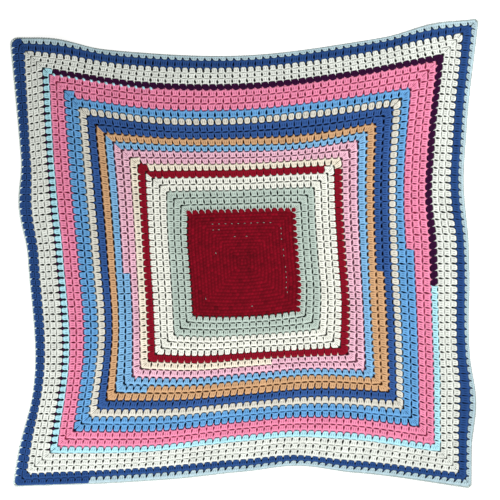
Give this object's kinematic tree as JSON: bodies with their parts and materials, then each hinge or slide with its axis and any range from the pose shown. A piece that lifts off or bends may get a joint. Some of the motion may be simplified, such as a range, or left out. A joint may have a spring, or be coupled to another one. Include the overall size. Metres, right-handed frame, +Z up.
{
  "type": "crocheted granny square blanket",
  "caption": "Crocheted square blanket worked in rounds of clusters about a dense centre, in coloured bands, lying flat with a gently wavy outline.",
  "frame": {"origin": "middle of the blanket's outline, on the surface it lies on", "axes": "+Z up out of the surface, +X to the right and +Y away from the viewer of the laid-out blanket"},
  "size_m": [0.9386, 0.9406, 0.0114],
  "materials": {
    "yarn_dark_red": "dense matt crochet, dark red wool yarn",
    "yarn_sage": "matt crochet clusters, sage yarn",
    "yarn_white": "matt crochet clusters, off-white yarn",
    "yarn_red": "matt crochet clusters, deep red yarn",
    "yarn_cream": "matt crochet clusters, warm cream yarn",
    "yarn_light_pink": "matt crochet clusters, light pink yarn",
    "yarn_light_blue": "matt crochet clusters, light blue yarn",
    "yarn_apricot": "matt crochet clusters, apricot yarn",
    "yarn_navy": "matt crochet clusters, navy yarn",
    "yarn_beige": "matt crochet clusters, beige yarn",
    "yarn_blue": "matt crochet clusters, mid blue yarn",
    "yarn_pink": "matt crochet clusters, strong pink yarn",
    "yarn_plum": "matt crochet clusters, very dark plum yarn",
    "yarn_cyan": "matt crochet clusters, pale cyan yarn",
    "yarn_pale_cream": "matt crochet clusters, pale cream yarn",
    "yarn_navy_rim": "matt crochet clusters, navy yarn",
    "yarn_ice_blue": "matt crochet clusters, pale grey-blue yarn",
    "yarn_edging": "narrow crochet edging, pale blue yarn"
  },
  "bodies": {
    "root": {"centre_square": "yarn_dark_red", "sage_rounds": "yarn_sage", "white_rounds": "yarn_white", "red_round": "yarn_red", "cream_round": "yarn_cream", "light_pink_rounds": "yarn_light_pink", "light_blue_rounds": "yarn_light_blue", "apricot_rounds": "yarn_apricot", "navy_rounds": "yarn_navy", "beige_round": "yarn_beige", "blue_rounds": "yarn_blue", "pink_rounds": "yarn_pink", "plum_round": "yarn_plum", "cyan_round": "yarn_cyan", "pale_cream_rounds": "yarn_pale_cream", "navy_rim_rounds": "yarn_navy_rim", "ice_blue_round": "yarn_ice_blue", "edging": "yarn_edging"}
  },
  "joints": []
}
